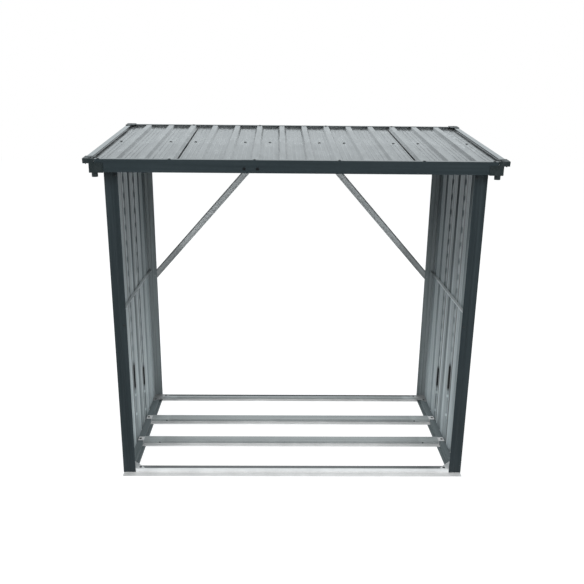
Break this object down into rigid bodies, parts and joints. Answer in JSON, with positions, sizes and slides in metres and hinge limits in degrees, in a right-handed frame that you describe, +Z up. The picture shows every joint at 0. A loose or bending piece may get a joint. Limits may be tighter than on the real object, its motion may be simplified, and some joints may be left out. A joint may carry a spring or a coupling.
{
  "type": "log store",
  "caption": "Metal log store with ribbed side walls, a ribbed lean-to roof with a low front gutter, an open front and a braced open back, on a floor frame with cross rails.",
  "frame": {"origin": "on the ground, under the middle of the whole object", "axes": "+X right along the eave seen from the open low front, +Y from the low front to the high back, +Z up"},
  "size_m": [1.72, 0.9137, 1.54],
  "materials": {
    "dark_paint": "smooth satin",
    "wall_sheet": "ribbed sheet, grey back coat inside and dark painted outside",
    "roof_sheet": "satin painted ribbed sheet",
    "zinc_frame": "galvanised",
    "edge_trim": "satin painted folded trim",
    "dark_plastic": "moulded"
  },
  "bodies": {
    "root": {"back_edge_trim": "edge_trim", "back_left_cap": "dark_plastic", "back_left_gusset": "zinc_frame", "back_left_post": "dark_paint", "back_right_cap": "dark_plastic", "back_right_gusset": "zinc_frame", "back_right_post": "dark_paint", "back_top_beam": "zinc_frame", "base_back_rail": "zinc_frame", "base_front_rail": "zinc_frame", "base_left_rail": "zinc_frame", "base_right_rail": "zinc_frame", "floor_rail_back": "zinc_frame", "floor_rail_front": "zinc_frame", "front_gutter": "dark_paint", "front_left_cap": "dark_plastic", "front_left_gusset": "zinc_frame", "front_left_post": "dark_paint", "front_right_cap": "dark_plastic", "front_right_gusset": "zinc_frame", "front_right_post": "dark_paint", "front_top_beam": "zinc_frame", "left_brace": "zinc_frame", "left_mid_rail": "zinc_frame", "left_top_rail": "zinc_frame", "left_verge_trim": "edge_trim", "left_wall_back_panel": "wall_sheet", "left_wall_front_panel": "wall_sheet", "left_wall_middle_panel": "wall_sheet", "right_brace": "zinc_frame", "right_mid_rail": "zinc_frame", "right_top_rail": "zinc_frame", "right_verge_trim": "edge_trim", "right_wall_back_panel": "wall_sheet", "right_wall_front_panel": "wall_sheet", "right_wall_middle_panel": "wall_sheet", "roof_panel_1": "roof_sheet", "roof_panel_2": "roof_sheet", "roof_panel_3": "roof_sheet", "roof_panel_4": "roof_sheet", "roof_panel_5": "roof_sheet", "roof_purlin": "zinc_frame"}
  },
  "joints": []
}
